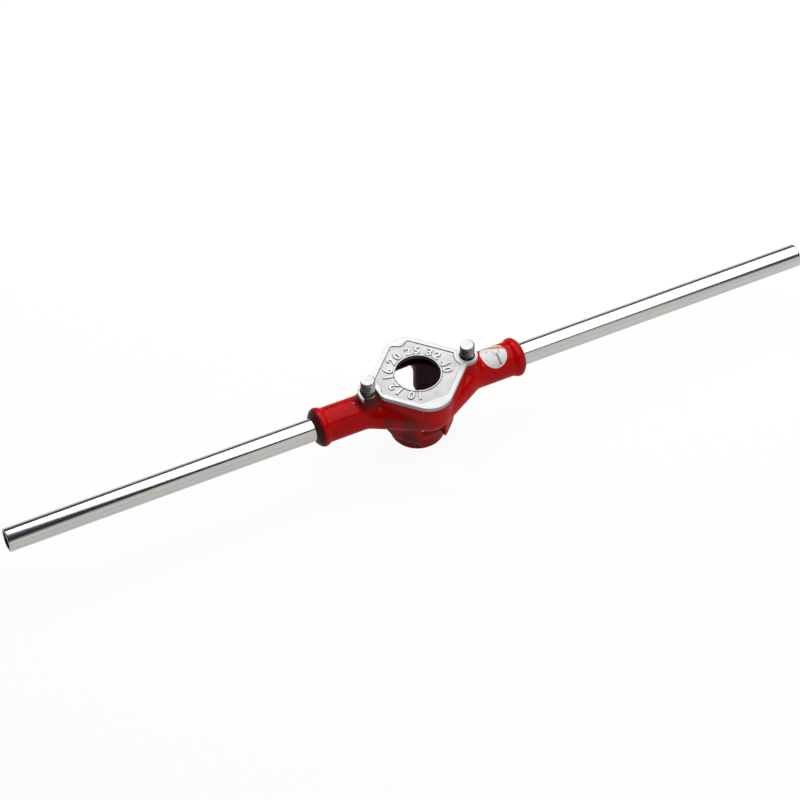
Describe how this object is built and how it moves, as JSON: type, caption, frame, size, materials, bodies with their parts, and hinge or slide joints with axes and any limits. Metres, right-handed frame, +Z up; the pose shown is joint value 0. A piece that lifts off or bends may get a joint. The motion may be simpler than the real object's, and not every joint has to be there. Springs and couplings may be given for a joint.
{
  "type": "die stock handle",
  "caption": "Cast die stock with two tube handles, a die pocket, chip windows, a guide collar and a cover plate that swings about the right stud and hooks round the left.",
  "frame": {"origin": "die axis at the foot of the guide collar, which the stock rests on", "axes": "+X along the handles, +Y towards the back chip window, +Z up along the die axis, out through the cover plate"},
  "size_m": [0.8154, 0.0926, 0.0943],
  "materials": {
    "red_enamel": "glossy red enamel on rough casting",
    "zinc_casting": "pale matt zinc on a cast plate",
    "bright_zinc": "bright zinc on drawn tube",
    "stud_steel": "dark threaded steel with a turned top"
  },
  "bodies": {
    "stock": {"stock_body": "red_enamel", "left_stud": "stud_steel", "right_stud": "stud_steel", "left_handle_tube": "bright_zinc", "right_handle_tube": "bright_zinc"},
    "cover": {"cover_plate": "zinc_casting"}
  },
  "joints": [
    {"name": "cover_swing", "type": "hinge", "parent": "stock", "child": "cover", "pos_m": [0.0509, 0, 0.0755], "axis": [0, 0, 1], "range_deg": [-95, 0]}
  ]
}
